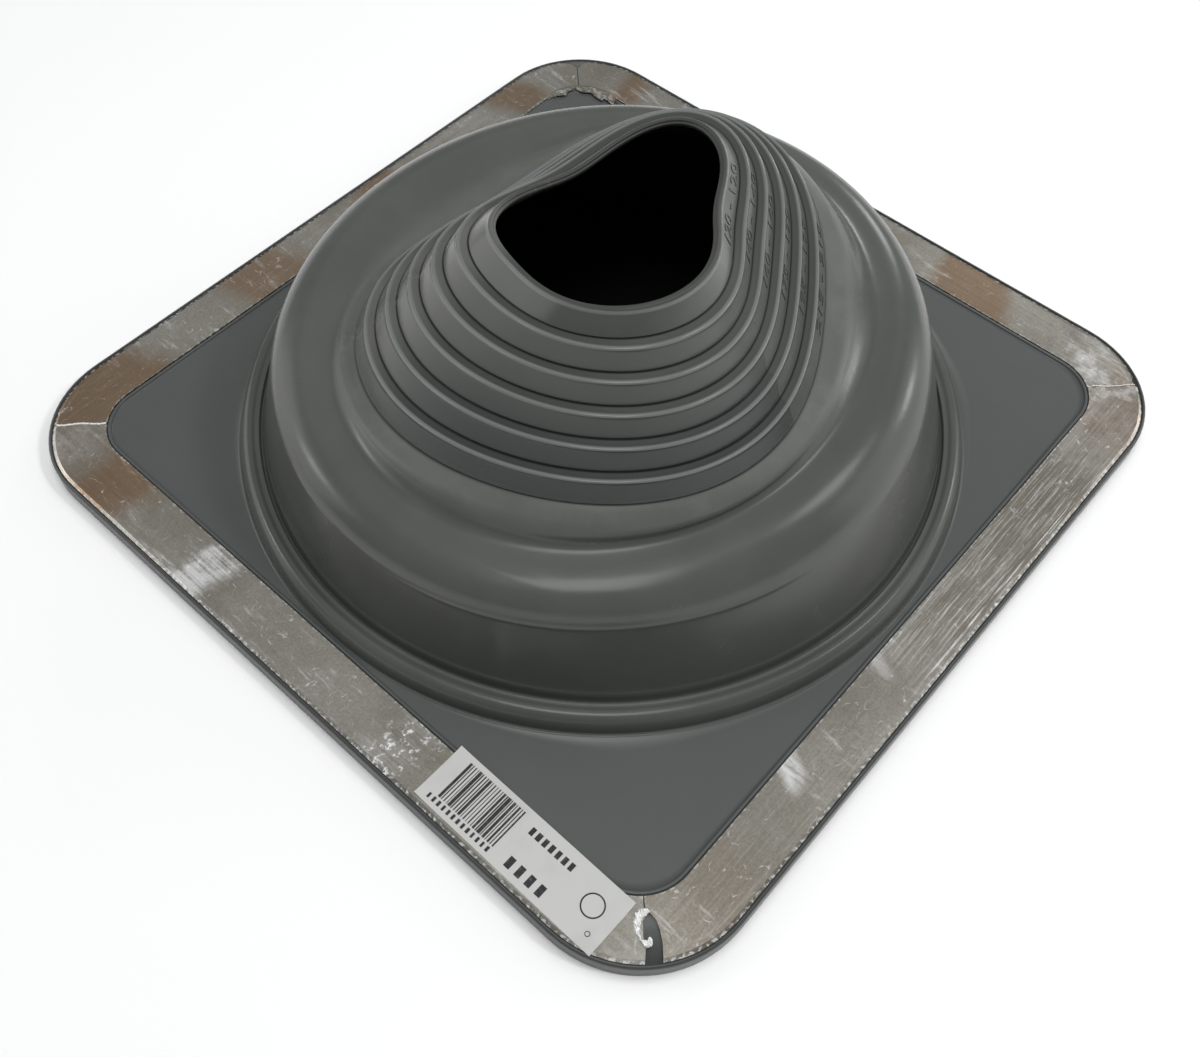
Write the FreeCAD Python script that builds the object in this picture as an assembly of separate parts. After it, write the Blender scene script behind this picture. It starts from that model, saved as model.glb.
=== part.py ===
import FreeCAD, Part

import math
import os

# Soft rubber boot that seals a round pipe where it passes through a roof sheet.
# Units are millimetres. +Z is up and the origin is the centre of the underside.
# The near corner, which the label lies beside, is towards +X and -Y.

# Base plate and its aluminium edging
edging_side = 320.0          # outside of the aluminium frame, straight side to straight side
edging_width = 20.0          # width of each aluminium strip
edging_corner = 40.0         # outer corner radius of the aluminium frame
edging_thick = 0.8           # thickness of the strips
edging_bevel = 1.2           # width of the turned-down margin along a strip's outer edge
edging_bevel_drop = 0.5      # how far that margin turns down
mitre_gap = 0.4              # open seam where two strips meet on a corner's diagonal
seat_clearance = 0.15        # slack between a strip and the rubber on each side of it
plate_margin = 1.6           # rubber that shows outside the aluminium
plate_height = 8.0           # underside of the edge to the top of the aluminium
plate_edge_bevel = 1.0       # bevel along the plate's upper outer edge
lip_width = 1.8              # raised rubber lip inside the aluminium
field_drop = 0.7             # field lies this much below the top of the aluminium
field_thick = 3.3            # rubber between the field and the hollow underside
skirt_width = 4.0            # solid edge under the aluminium's outer margin
rib_inset = 5.0              # inner side of that solid edge to the sealing rib beside it
rib_width = 2.0
past = 1.0                   # how far a cutting body runs past what it cuts

# Half-round bead at the foot of the dome
bead_clearance = 2.6         # inner side of the edging to the bead, before the soft plate shifts it
bead_width = 8.0
bead_height = 7.4            # top of the bead above the field
bead_groove = 1.4            # width of the groove between the bead and the dome's wall
bead_shift = (-1.5, 0.0)     # along X and Y

# Dome: a tapered wall that rolls over a round shoulder
wall_inset = 9.4             # outside of the bead to the outside of the wall's foot
wall_foot_height = 6.6       # height of the wall's foot above the field
shoulder_inset = 25.7        # wall's foot to the centre circle of the shoulder's rounding
shoulder_round = 16.6        # radius of the rounding
shoulder_top = 53.2          # top of the shoulder above the field
skin = 2.6                   # thickness of the moulded skin

# Stepped cone: each step is cut off to suit the next pipe size
cone_inset = 16.7            # centre circle of the shoulder to the groove of the lowest step
cone_foot = 61.5             # height of that groove above the field
mouth_radius = 41.3
cone_height = 48.6           # lowest groove to the mouth
steps = 6                    # steps between the lowest groove and the mouth
top_step = 0.95              # the step at the mouth is this much of the others
ridge_height = 2.1           # how far a step's ridge stands out of the cone's slope
ridge_place = 0.24           # place of the ridge, as a share of one step below its groove
foot_ridge_height = 2.5      # the lowest ridge is broader
foot_ridge_place = 0.55
valley_fullness = 0.62       # how far the shoulder's top runs on level towards the cone
valley_rise = 0.42           # how long the cone's slope runs on down into the valley
lip_bulge = 0.9              # small rounded lip around the mouth
lip_length = 1.8
lip_crest = 0.6              # place of the lip's crest, as a share of its length from the mouth
mouth_share = 0.75           # skin left at the mouth's rounded edge, as a share of its thickness

# Shape that the soft dome has settled into
dome_shift = (-1.3, -1.6)    # along X and Y
dome_tilt = (0.010, 0.035)   # rise for each millimetre outwards along X and along Y
dome_oval = 3.7              # the dome is this much wider along Y and narrower along X

# Shape that the soft cone has settled into. Each pair has the value at its foot and at its mouth.
cone_shift_x = (-2.75, 4.07)
cone_shift_y = (-1.88, -5.63)
cone_tilt_x = (0.055, 0.150) # rise for each millimetre outwards
cone_tilt_y = (0.067, 0.029)
oval_x = (-3.95, 0.09)       # swelling along X, twice round the ring
oval_diagonal = (-4.17, -5.30)   # the same along the diagonal between X and Y
lobe_x = (2.28, -0.57)       # swelling three times round the ring, which makes it a soft triangle
lobe_y = (-2.55, -3.84)
wave_x = (-3.25, 0.60)       # rise of the ring where the oval swells
wave_diagonal = (-1.57, -1.50)
wave_lobe_x = (-1.65, -0.62)
wave_lobe_y = (-0.93, -1.37)
dent_depth = (4.1, 13.5)     # the cone is pushed flat on its far left side
dent_turn = 163.0            # direction of the dent, in degrees from +X
dent_edge = 4.5              # larger values give the dent sharper ends
dent_drop = 0.378            # the dented side also drops by this much of its depth
place_power = 1.284          # how the outline of a ring changes from the foot to the mouth
rise_power = 2.006           # the same for its height

# Damaged corners of the edging: outlines of the missing metal as pairs of the depth from the
# outer edge along the corner's diagonal and the place to the side of that diagonal
near_tear = [(-2.0, 4.3), (5.9, 4.6), (9.9, 4.1), (12.7, 3.2), (15.4, 1.1),
             (12.5, -0.8), (8.0, -1.0), (4.5, -0.6), (-2.0, -1.4)]
far_notch = [(-2.5, -12.0), (1.2, -8.0), (2.6, -3.0), (6.0, 0.0), (2.8, 2.5), (1.4, 7.0), (-2.5, 11.0)]
side_notch = [(-1.5, -1.0), (1.1, 0.4), (1.6, 2.2), (0.6, 4.2), (-1.5, 5.5)]

# Paper label stuck over one strip
label_length = 75.0
label_width = 21.2
label_thick = 0.2
label_from_side = 12.4       # centre of the label, inwards from the edging's outer edge
label_from_corner = 63.6     # centre of the label, along the strip from the nearest corner
label_turn = -0.5

# Sampling of the free-form skin
ring_points = 32
small_angle = 0.01
shoulder_pieces = 3          # rings over the shoulder's rounding
valley_places = (2.4, 2.7)   # rings on the outside of the valley, as places on the skin's path
valley_lift = 0.33           # lift of the second of them, as a share of the lowest ridge's
inner_places = (2.7, 2.2, 1.6, 1.0, 0.5, 0.0)  # rings on the inside, from the valley down to the foot
inner_every = 1              # steps between the rings on the inside of the cone
bead_turns = (0, 45, 90, 120)  # corners round the bead's section, in degrees from its outer foot

field_top = plate_height - field_drop
seat_height = plate_height - edging_thick
under_field = field_top - field_thick
half_edging = edging_side / 2
half_plate = half_edging + plate_margin
half_field = half_edging - edging_width - lip_width
bead_radius = half_edging - edging_width - bead_clearance
wall_foot_radius = bead_radius - wall_inset
shoulder_radius = wall_foot_radius - shoulder_inset
cone_radius = shoulder_radius - cone_inset
cone_steps = steps - 1 + top_step


def rounded_square(half, corner, z):
    """Closed wire of a square with round corners, centred on the origin."""
    flat = half - corner
    reach = flat + corner * math.sqrt(0.5)
    edges = []
    for turn in range(4):
        a = FreeCAD.Rotation(FreeCAD.Vector(0, 0, 1), 90 * turn)
        points = [(half, -flat), (half, flat), (reach, reach), (flat, half)]
        start, end, middle, after = [a.multVec(FreeCAD.Vector(x, y, z)) for x, y in points]
        edges.append(Part.makeLine(start, end))
        edges.append(Part.Arc(end, middle, after).toShape())
    return Part.Wire(edges)


def square_slab(half, corner, low, high):
    """Round-cornered slab between two heights."""
    face = Part.Face(rounded_square(half, corner, low))
    return face.extrude(FreeCAD.Vector(0, 0, high - low))


def square_frame(outer, inner, corner_outer, low, high):
    """Round-cornered frame whose two outlines are concentric."""
    corner_inner = corner_outer - (outer - inner)
    hole = square_slab(inner, corner_inner, low - past, high + past)
    return square_slab(outer, corner_outer, low, high).cut(hole)


def plate_corner(half):
    """Corner radius of an outline that is concentric with the edging."""
    return edging_corner + half - half_edging


def smooth(x):
    """Soft step from 0 to 1."""
    x = min(max(x, 0.0), 1.0)
    return x * x * (3 - 2 * x)


def blend(a, b, share):
    return tuple(p + (q - p) * share for p, q in zip(a, b))


def cone_line(step):
    """Radius and height on the cone's slope, counted in steps up from the lowest groove."""
    share = step / cone_steps
    return (cone_radius + (mouth_radius - cone_radius) * share, field_top + cone_foot + cone_height * share)


# The skin's path runs from the bead (0) up the wall (1), over the shoulder (2) and across the
# valley beside it to the middle of the lowest step (3), then up the cone, one unit for each step.
shoulder_height = field_top + shoulder_top - shoulder_round
wall_foot = (wall_foot_radius, field_top + wall_foot_height)
foot_step = -foot_ridge_place
lowest_groove = 3 - foot_step
path_end = lowest_groove + cone_steps


def wall_tangent():
    """Angle on the shoulder's rounding where the straight wall runs into it."""
    away = (wall_foot[0] - shoulder_radius, wall_foot[1] - shoulder_height)
    distance = math.hypot(*away)
    return math.atan2(away[1], away[0]) + math.acos(shoulder_round / distance)


def shoulder_point(angle):
    return (shoulder_radius + shoulder_round * math.cos(angle),
            shoulder_height + shoulder_round * math.sin(angle))


def skin_path(q):
    """Radius and height of the skin's outside, before it leans and dents."""
    start = wall_tangent()
    if q <= 1:
        return blend(wall_foot, shoulder_point(start), q)
    if q <= 2:
        return shoulder_point(start + (math.pi / 2 - start) * (q - 1))
    if q <= 3:
        a = shoulder_point(math.pi / 2)
        d = cone_line(foot_step)
        b = (a[0] + (d[0] - a[0]) * valley_fullness, a[1])
        c = blend(d, cone_line(foot_step - 1), valley_rise)
        t = q - 2
        return tuple((1 - t) ** 3 * a[k] + 3 * t * (1 - t) ** 2 * b[k]
                     + 3 * t * t * (1 - t) * c[k] + t ** 3 * d[k] for k in range(2))
    return cone_line(foot_step + q - 3)


def swelling(angle, pairs, share):
    """Change round a ring: two pairs swell it twice on the way round and two swell it three times."""
    values = [pair[0] + (pair[1] - pair[0]) * share for pair in pairs]
    return (values[0] * math.cos(2 * angle) + values[1] * math.sin(2 * angle)
            + values[2] * math.cos(3 * angle) + values[3] * math.sin(3 * angle))


def dented(reach, angle, depth):
    """Distance from the axis after one side has been pushed almost flat."""
    toward = max(math.cos(angle - math.radians(dent_turn)), 0)
    return (reach ** -dent_edge + (toward / (reach - depth)) ** dent_edge) ** (-1 / dent_edge)


def taken_shape(angle, q):
    """Point of the leaning, dented skin at an angle round the boot and a place on its path."""
    radius, height = skin_path(q)
    x, y = math.cos(angle), math.sin(angle)
    on_dome = smooth(q / 2)
    on_cone = smooth((q - 2) / (lowest_groove - 2))
    share = max((q - lowest_groove) / cone_steps, 0.0)
    place, rise = share ** place_power, share ** rise_power
    cone_shift = [pair[0] + (pair[1] - pair[0]) * place for pair in (cone_shift_x, cone_shift_y)]
    cone_tilt = [pair[0] + (pair[1] - pair[0]) * rise for pair in (cone_tilt_x, cone_tilt_y)]
    shift = blend(blend(bead_shift, dome_shift, on_dome), cone_shift, on_cone)
    tilt = blend([v * on_dome for v in dome_tilt], cone_tilt, on_cone)
    full = radius + swelling(angle, (oval_x, oval_diagonal, lobe_x, lobe_y), place) * on_cone
    full -= dome_oval * math.cos(2 * angle) * on_dome * (1 - on_cone)
    depth = dent_depth[0] + (dent_depth[1] - dent_depth[0]) * share
    pushed = (full - dented(full, angle, depth)) * on_cone
    height += swelling(angle, (wave_x, wave_diagonal, wave_lobe_x, wave_lobe_y), rise) * on_cone
    height += radius * (tilt[0] * x + tilt[1] * y) - dent_drop * pushed
    return FreeCAD.Vector(shift[0] + (full - pushed) * x, shift[1] + (full - pushed) * y, height)


def skin_point(angle, q, lift):
    """Point at a distance from the skin's outside, measured square to it."""
    around = taken_shape(angle + small_angle, q) - taken_shape(angle - small_angle, q)
    along = taken_shape(angle, q + small_angle) - taken_shape(angle, q - small_angle)
    normal = around.cross(along)
    normal.normalize()
    return taken_shape(angle, q) + normal * lift


def closed_curve(points):
    """Smooth closed edge through evenly numbered points."""
    curve = Part.BSplineCurve()
    values = [k / len(points) for k in range(len(points) + 1)]
    curve.interpolate(Points=points, Parameters=values, PeriodicFlag=True)
    return Part.Wire(curve.toShape())


def ring(q, lift):
    angles = [2 * math.pi * k / ring_points for k in range(ring_points)]
    return closed_curve([skin_point(angle, q, lift) for angle in angles])


def flat_ring(radius, z):
    """Level ring round the bead's axis."""
    x, y = bead_shift
    angles = [2 * math.pi * k / ring_points for k in range(ring_points)]
    return closed_curve([FreeCAD.Vector(x + radius * math.cos(a), y + radius * math.sin(a), z)
                         for a in angles])


def outer_stations():
    """Path places and lifts of the rings up the outside, from the wall's foot to the mouth."""
    stations = [(0.0, 0.0), (0.5, 0.0)]
    stations += [(1 + k / shoulder_pieces, 0.0) for k in range(shoulder_pieces + 1)]
    stations += [(valley_places[0], 0.0), (valley_places[1], foot_ridge_height * valley_lift)]
    stations += [(lowest_groove - foot_ridge_place, foot_ridge_height), (lowest_groove, 0.0)]
    for step in range(1, steps):
        top = lowest_groove + step
        stations += [(top - ridge_place, ridge_height), (top, 0.0)]
    lip = lip_length * cone_steps / math.hypot(cone_radius - mouth_radius, cone_height)
    stations += [(path_end - lip, 0.0), (path_end - lip * lip_crest, lip_bulge), (path_end, lip_bulge / 2)]
    return stations


def inner_stations():
    """The same for the inside, from the mouth back down to the wall's foot."""
    places = [lowest_groove + step for step in range(steps - 1, -1, -inner_every)] + list(inner_places)
    return [(path_end, -skin * mouth_share)] + [(place, -skin) for place in places]


def dome_and_cone():
    """Thin moulded skin, open at the mouth and underneath."""
    foot_outer = wall_foot_radius + bead_groove
    foot_inner = skin_point(0, 0, -skin).x - bead_shift[0]
    rings = [flat_ring(foot_outer, 0)]
    rings += [ring(q, lift) for q, lift in outer_stations()]
    rings += [ring(q, lift) for q, lift in inner_stations()]
    rings += [flat_ring(foot_inner, 0)]
    shell = Part.makeLoft(rings, False, True)
    floor = Part.makeFace([rings[0], rings[-1]], "Part::FaceMakerBullseye")
    sewn = Part.makeShell(shell.Faces + [floor])
    sewn.sewShape()
    solid = Part.Solid(sewn)
    if solid.Volume < 0:
        solid.reverse()
    return solid


def bead():
    """Half-round bead, with a groove between it and the wall, down to the underside."""
    inner = wall_foot_radius - skin / 2
    half = bead_width / 2
    centre = bead_radius - half
    groove = (wall_foot_radius + bead_groove, field_top + wall_foot_height - bead_groove)
    crown = [(centre + half * math.cos(a), field_top + bead_height * math.sin(a))
             for a in map(math.radians, bead_turns)]
    outline = [(inner, 0), (bead_radius, 0)] + crown + [groove, (inner, groove[1])]
    points = [FreeCAD.Vector(r, 0, z) for r, z in outline + outline[:1]]
    face = Part.Face(Part.makePolygon(points))
    body = face.revolve(FreeCAD.Vector(0, 0, 0), FreeCAD.Vector(0, 0, 1), 360)
    body.translate(FreeCAD.Vector(*bead_shift, 0))
    return body


def base_plate():
    """Rubber plate with bevelled edge, seat for the strips, inner lip, hollow underside and rib."""
    slab = square_slab(half_plate, plate_corner(half_plate), 0, plate_height)
    rims = [e for e in slab.Edges if e.BoundBox.ZMin > plate_height / 2]
    slab = slab.makeChamfer(plate_edge_bevel, rims)
    seat = square_frame(half_edging + seat_clearance, half_edging - edging_width - seat_clearance,
                        edging_corner + seat_clearance, seat_height, plate_height + past)
    field = square_slab(half_field, plate_corner(half_field), field_top, plate_height + past)
    inside = half_plate - skirt_width
    hollow = square_slab(inside, plate_corner(inside), -past, under_field)
    half_rib = inside - rib_inset
    rib = square_frame(half_rib, half_rib - rib_width, plate_corner(half_rib), 0, under_field + past)
    opening = Part.makeCylinder(bead_radius - bead_width / 2, plate_height + 2 * past,
                                FreeCAD.Vector(*bead_shift, -past))
    return slab.cut(seat).cut(field).cut(hollow).fuse(rib).cut(opening)


def boot():
    body = base_plate().fuse(bead()).fuse(dome_and_cone())
    return body.removeSplitter()


def missing_metal(outline, turn):
    """Prism over a damaged patch of the edging, at the corner whose diagonal has this direction."""
    corner_reach = (half_edging - edging_corner) * math.sqrt(2) + edging_corner
    points = [FreeCAD.Vector(corner_reach - depth, side, seat_height - past) for depth, side in outline]
    patch = Part.Face(Part.makePolygon(points + points[:1]))
    prism = patch.extrude(FreeCAD.Vector(0, 0, edging_thick + 2 * past))
    prism.rotate(FreeCAD.Vector(0, 0, 0), FreeCAD.Vector(0, 0, 1), turn)
    return prism


def edging_strips():
    """Four aluminium strips, mitred on the corner diagonals, as name and solid."""
    frame = square_frame(half_edging, half_edging - edging_width, edging_corner, seat_height, plate_height)
    top_rim = [e for e in frame.Edges if e.BoundBox.ZMin > plate_height - edging_thick / 2
               and max(abs(e.CenterOfMass.x), abs(e.CenterOfMass.y)) > half_edging - edging_width / 2]
    frame = frame.makeChamfer(edging_bevel_drop, edging_bevel, top_rim)
    for outline, turn in ((near_tear, -45), (side_notch, 45), (far_notch, 135)):
        frame = frame.cut(missing_metal(outline, turn))
    names = ["edging_right", "edging_back", "edging_left", "edging_front"]
    strips = []
    for k, name in enumerate(names):
        gap = mitre_gap * math.sqrt(0.5)
        corners = [(gap, 0), (edging_side + gap, -edging_side), (edging_side + gap, edging_side)]
        wedge = Part.Face(Part.makePolygon([FreeCAD.Vector(x, y, 0) for x, y in corners + corners[:1]]))
        wedge = wedge.extrude(FreeCAD.Vector(0, 0, plate_height + past))
        wedge.rotate(FreeCAD.Vector(0, 0, 0), FreeCAD.Vector(0, 0, 1), 90 * k)
        strips.append((name, frame.common(wedge)))
    return strips


def label():
    """Thin paper label, flat on the strip and on the lip beside it."""
    sheet = Part.makeBox(label_length, label_width, label_thick,
                         FreeCAD.Vector(-label_length / 2, -label_width / 2, 0))
    sheet.rotate(FreeCAD.Vector(0, 0, 0), FreeCAD.Vector(0, 0, 1), label_turn)
    centre_x, centre_y = half_edging - label_from_corner, label_from_side - half_edging
    sheet.translate(FreeCAD.Vector(centre_x, centre_y, plate_height))
    return sheet


os.makedirs("parts", exist_ok=True)
pieces = [("boot", boot()), ("label", label())] + edging_strips()
for name, shape in pieces:
    print(name, len(shape.Solids), "solid", shape.isValid(), round(shape.Volume))
    solid = shape.Solids[0] if len(shape.Solids) == 1 else shape
    solid.exportStep("parts/" + name + ".step")
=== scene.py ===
import math

import bpy
import numpy as np
from mathutils import Matrix, Vector


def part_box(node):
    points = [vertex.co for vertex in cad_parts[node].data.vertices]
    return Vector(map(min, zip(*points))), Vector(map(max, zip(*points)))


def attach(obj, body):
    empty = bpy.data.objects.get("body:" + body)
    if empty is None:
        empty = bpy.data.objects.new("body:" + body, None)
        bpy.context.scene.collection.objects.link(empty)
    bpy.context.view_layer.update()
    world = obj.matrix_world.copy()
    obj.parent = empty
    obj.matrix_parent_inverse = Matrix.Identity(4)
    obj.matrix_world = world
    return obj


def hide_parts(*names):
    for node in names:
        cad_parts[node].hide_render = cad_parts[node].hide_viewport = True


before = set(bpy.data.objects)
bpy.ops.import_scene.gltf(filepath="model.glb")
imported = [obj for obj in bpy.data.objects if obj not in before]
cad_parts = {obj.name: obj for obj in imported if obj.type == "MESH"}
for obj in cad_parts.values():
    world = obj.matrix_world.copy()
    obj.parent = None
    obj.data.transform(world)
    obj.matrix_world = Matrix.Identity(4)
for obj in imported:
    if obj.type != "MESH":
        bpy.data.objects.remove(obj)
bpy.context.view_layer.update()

# The camera looks down on the boot from outside its near corner. The picture is 1200 pixels wide
# and 1057 high, and a small shift puts its centre right.
picture_width, picture_height = 1200, 1057
focal_pixels = 1248.6
centre_x, centre_y = 582.1, 519.4
camera_place = (0.19284, -0.23217, 0.38688)
camera_right = (0.74367, 0.66849, 0.00864)
camera_up = (-0.56247, 0.61864, 0.54856)

lens = bpy.data.cameras.new("camera")
lens.sensor_width = 36.0
lens.lens = focal_pixels * lens.sensor_width / picture_width
lens.shift_x = (picture_width / 2 - centre_x) / picture_width
lens.shift_y = (centre_y - picture_height / 2) / picture_width
right, up = Vector(camera_right).normalized(), Vector(camera_up)
back = right.cross(up).normalized()
up = back.cross(right)
camera = bpy.data.objects.new("camera", lens)
camera.matrix_world = Matrix.Translation(camera_place) @ Matrix((right, up, back)).transposed().to_4x4()
bpy.context.scene.collection.objects.link(camera)
bpy.context.scene.camera = camera

# The boot is one moulding of soft grey rubber: plate, half-round bead, dome and stepped cone, with
# the cone's far left side pushed in. Its mesh is rings of points that follow the skin from inside
# the foot up to the mouth, down the outside and round the plate. Sizes are in millimetres.
MM = 0.001
edging_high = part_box("edging_front")[1].z / MM
half_edging = -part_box("edging_front")[0].y / MM
half_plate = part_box("boot")[1].x / MM
edging_width, edging_corner = 20.0, 40.0
field_top = edging_high - 0.7
seat_height = edging_high - 0.8
under_field = field_top - 3.3
bead_radius, bead_width, bead_height = half_edging - edging_width - 2.6, 8.0, 7.4
bead_shift = (-1.5, 0.0)
wall_foot = (bead_radius - 9.4, field_top + 6.6)
shoulder_round = 16.6
shoulder_centre = (wall_foot[0] - 25.7, field_top + 53.2 - shoulder_round)
skin = 2.6
cone_radius, cone_foot = shoulder_centre[0] - 16.7, field_top + 61.5
mouth_radius, cone_height = 41.3, 48.6
steps, cone_steps = 6, 5.95      # the top step is cut a little short
foot_place = 0.55                # the lowest ridge's crest, in steps below the lowest groove
lowest_groove = 3 + foot_place
path_end = lowest_groove + cone_steps
valley_level, valley_rising = 0.62, 0.42      # pull of the valley's curve towards shoulder and cone
step_length = math.hypot(cone_radius - mouth_radius, cone_height) / cone_steps

# Shape that the soft skin has settled into, as in the solid: pairs are for the foot and the mouth
dome_shift, dome_tilt, dome_oval = (-1.3, -1.6), (0.010, 0.035), 3.7
cone_shift = ((-2.75, 4.07), (-1.88, -5.63))
cone_tilt = ((0.055, 0.150), (0.067, 0.029))
cone_swelling = ((-3.95, 0.09), (-4.17, -5.30), (2.28, -0.57), (-2.55, -3.84))
cone_waves = ((-3.25, 0.60), (-1.57, -1.50), (-1.65, -0.62), (-0.93, -1.37))
dent_depth, dent_turn, dent_edge, dent_drop = (4.1, 13.5), math.radians(163), 4.5, 0.378
place_power, rise_power = 1.284, 2.006


def smooth(x):
    x = np.clip(x, 0, 1)
    return x * x * (3 - 2 * x)


def between(pair, share):
    return pair[0] + (pair[1] - pair[0]) * share


def cone_line(step):
    share = step / cone_steps
    return cone_radius + (mouth_radius - cone_radius) * share, cone_foot + cone_height * share


def skin_path(q):
    """Radius and height of the moulded skin: wall 0 to 1, shoulder to 2, valley to 3, then the steps."""
    away = (wall_foot[0] - shoulder_centre[0], wall_foot[1] - shoulder_centre[1])
    start = math.atan2(away[1], away[0]) + math.acos(shoulder_round / math.hypot(*away))
    turn = start + (math.pi / 2 - start) * (np.clip(q, 1, 2) - 1)
    wall_top = [c + shoulder_round * f(start) for c, f in zip(shoulder_centre, (math.cos, math.sin))]
    wall = [between((a, b), q) for a, b in zip(wall_foot, wall_top)]
    round_part = [c + shoulder_round * f(turn) for c, f in zip(shoulder_centre, (np.cos, np.sin))]
    t = np.clip(q - 2, 0, 1)
    crest = (shoulder_centre[0], shoulder_centre[1] + shoulder_round)
    low = cone_line(-foot_place)
    level = (between((crest[0], low[0]), valley_level), crest[1])
    rising = [between(pair, valley_rising) for pair in zip(low, cone_line(-foot_place - 1))]
    valley = [(1 - t) ** 3 * a + 3 * t * (1 - t) ** 2 * b + 3 * t * t * (1 - t) * c + t ** 3 * d
              for a, b, c, d in zip(crest, level, rising, low)]
    steps_part = cone_line(q - lowest_groove)
    return [np.where(q <= 1, w, np.where(q <= 2, r, np.where(q <= 3, v, s)))
            for w, r, v, s in zip(wall, round_part, valley, steps_part)]


def swelling(angle, pairs, share):
    a, b, c, d = [between(pair, share) for pair in pairs]
    return a * np.cos(2 * angle) + b * np.sin(2 * angle) + c * np.cos(3 * angle) + d * np.sin(3 * angle)


def settled(angle, q):
    """Points of the skin's smooth outside, as an array with x, y and z last."""
    angle, q = np.broadcast_arrays(np.asarray(angle, float), np.asarray(q, float))
    radius, height = skin_path(q)
    on_dome, on_cone = smooth(q / 2), smooth((q - 2) / (lowest_groove - 2))
    share = np.maximum((q - lowest_groove) / cone_steps, 0)
    place, rise = share ** place_power, share ** rise_power
    ways = (np.cos(angle), np.sin(angle))
    full = radius + swelling(angle, cone_swelling, place) * on_cone
    full = full - dome_oval * np.cos(2 * angle) * on_dome * (1 - on_cone)
    toward = np.maximum(np.cos(angle - dent_turn), 0)
    deep = full - between(dent_depth, share)
    dented = (full ** -dent_edge + (toward / deep) ** dent_edge) ** (-1 / dent_edge)
    pushed = (full - dented) * on_cone
    height = height + swelling(angle, cone_waves, rise) * on_cone - dent_drop * pushed
    plan = []
    for k, way in enumerate(ways):
        dome_place = between((bead_shift[k], dome_shift[k]), on_dome)
        shift = between((dome_place, between(cone_shift[k], place)), on_cone)
        tilt = between((dome_tilt[k] * on_dome, between(cone_tilt[k], rise)), on_cone)
        plan.append(shift + (full - pushed) * way)
        height = height + radius * way * tilt
    return np.stack(plan + [height], -1)


def skin_point(angle, q, lift):
    """Points that stand a distance off the smooth outside, measured square to it."""
    small = 0.01
    angle, q, lift = np.broadcast_arrays(*[np.asarray(v, float) for v in (angle, q, lift)])
    around = settled(angle + small, q) - settled(angle - small, q)
    along = settled(angle, q + small) - settled(angle, q - small)
    normal = np.cross(around, along)
    normal /= np.linalg.norm(normal, axis=-1, keepdims=True)
    return settled(angle, q) + normal * lift[..., None]


def square_reach(angle, half, corner):
    """Distance from the centre to the outline of a square with round corners."""
    ways = np.sort(np.abs(np.stack([np.cos(angle), np.sin(angle)])), axis=0)
    flat = half - corner
    straight = half / ways[1]
    along = flat * (ways[0] + ways[1])
    rounded = along + np.sqrt(np.maximum(along ** 2 - 2 * flat ** 2 + corner ** 2, 0))
    return np.where(ways[0] * straight <= flat, straight, rounded)


def plate_reach(angle, half):
    return square_reach(angle, half, edging_corner + half - half_edging)


def softer_min(a, b, width):
    """The lower of two slopes, with the edge between them rounded off."""
    share = np.clip(0.5 + 0.5 * (b - a) / width, 0, 1)
    return a * share + b * (1 - share) - width * share * (1 - share)


ridge_height, ridge_crest, ridge_edge = 2.25, 0.77, 0.8
crest_bead, crest_bead_half = 0.35, 0.8
groove_deep, groove_half = 0.35, 0.2


def groove_dip(distance):
    """Depth of a step's narrow groove, by the distance from its middle in steps."""
    return groove_deep * np.exp(-(distance * step_length / groove_half) ** 2)


def step_lift(u):
    """Lift of a moulded step from the groove below it (0) to the groove above it (1)."""
    slope, ledge = ridge_height * u / ridge_crest, ridge_height * (1 - u) / (1 - ridge_crest)
    bead = crest_bead * np.exp(-((u - ridge_crest) * step_length / crest_bead_half) ** 2)
    return softer_min(slope, ledge, ridge_edge) + bead - groove_dip(1 - u) - groove_dip(u)


ring_count = 256
corner_crowding = 0.12           # draws the points together at the plate's round corners
even = np.linspace(0, 2 * np.pi, ring_count, endpoint=False)
angles = even + corner_crowding * np.sin(4 * even)
rows, places = [], []

# Place of each row on the skin map: the skin's path from 0 up, and these for the rest
on_groove, on_bead, on_fillet, on_field, on_lip = -0.1, -0.3, -0.6, -1.0, -1.5
on_margin, on_edge, on_underside, on_inside = -2.0, -2.5, -3.0, 20.0


def add_skin(q, lift):
    rows.append(skin_point(angles, q, lift))
    places.append(float(q))


def level_ring(reach, z, centre=(0, 0)):
    x, y = centre[0] + reach * np.cos(angles), centre[1] + reach * np.sin(angles)
    return np.stack([x, y, np.full(ring_count, z)], -1)


def add_level(ring, place):
    rows.append(ring)
    places.append(place)


lip_width, bead_clearance = 1.8, 0.25
half_field = half_edging - edging_width - lip_width


def add_bead(reach, z, place):
    """Ring round the bead's axis, kept inside the lip where the bead touches it."""
    ring = level_ring(reach, z, bead_shift)
    ring[:, :2] = np.clip(ring[:, :2], bead_clearance - half_field, half_field - bead_clearance)
    add_level(ring, place)


# inside, from the foot up to the mouth
add_bead(skin_point(0.0, 0.0, -skin)[0] - bead_shift[0], 0.0, on_inside)
for q in list(np.linspace(0, 1, 5)) + list(np.linspace(1, 2, 8))[1:] + list(np.linspace(2, 9.1, 26))[1:]:
    add_skin(q, -skin)
# the mouth's rounded lip, a little flattened in the middle
lip_bulge, mouth_skin = 0.9, 1.95
lip_half = (lip_bulge + mouth_skin) / 2
flattened, flat_turn = 0.24, 0.28
for turn in np.linspace(math.pi, 0, 29):
    radius = lip_half * (1 - flattened * math.exp(-((turn - math.pi / 2) / flat_turn) ** 2))
    add_skin(path_end - (lip_half - radius * math.sin(turn)) / step_length,
             lip_bulge - lip_half + radius * math.cos(turn))
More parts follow.
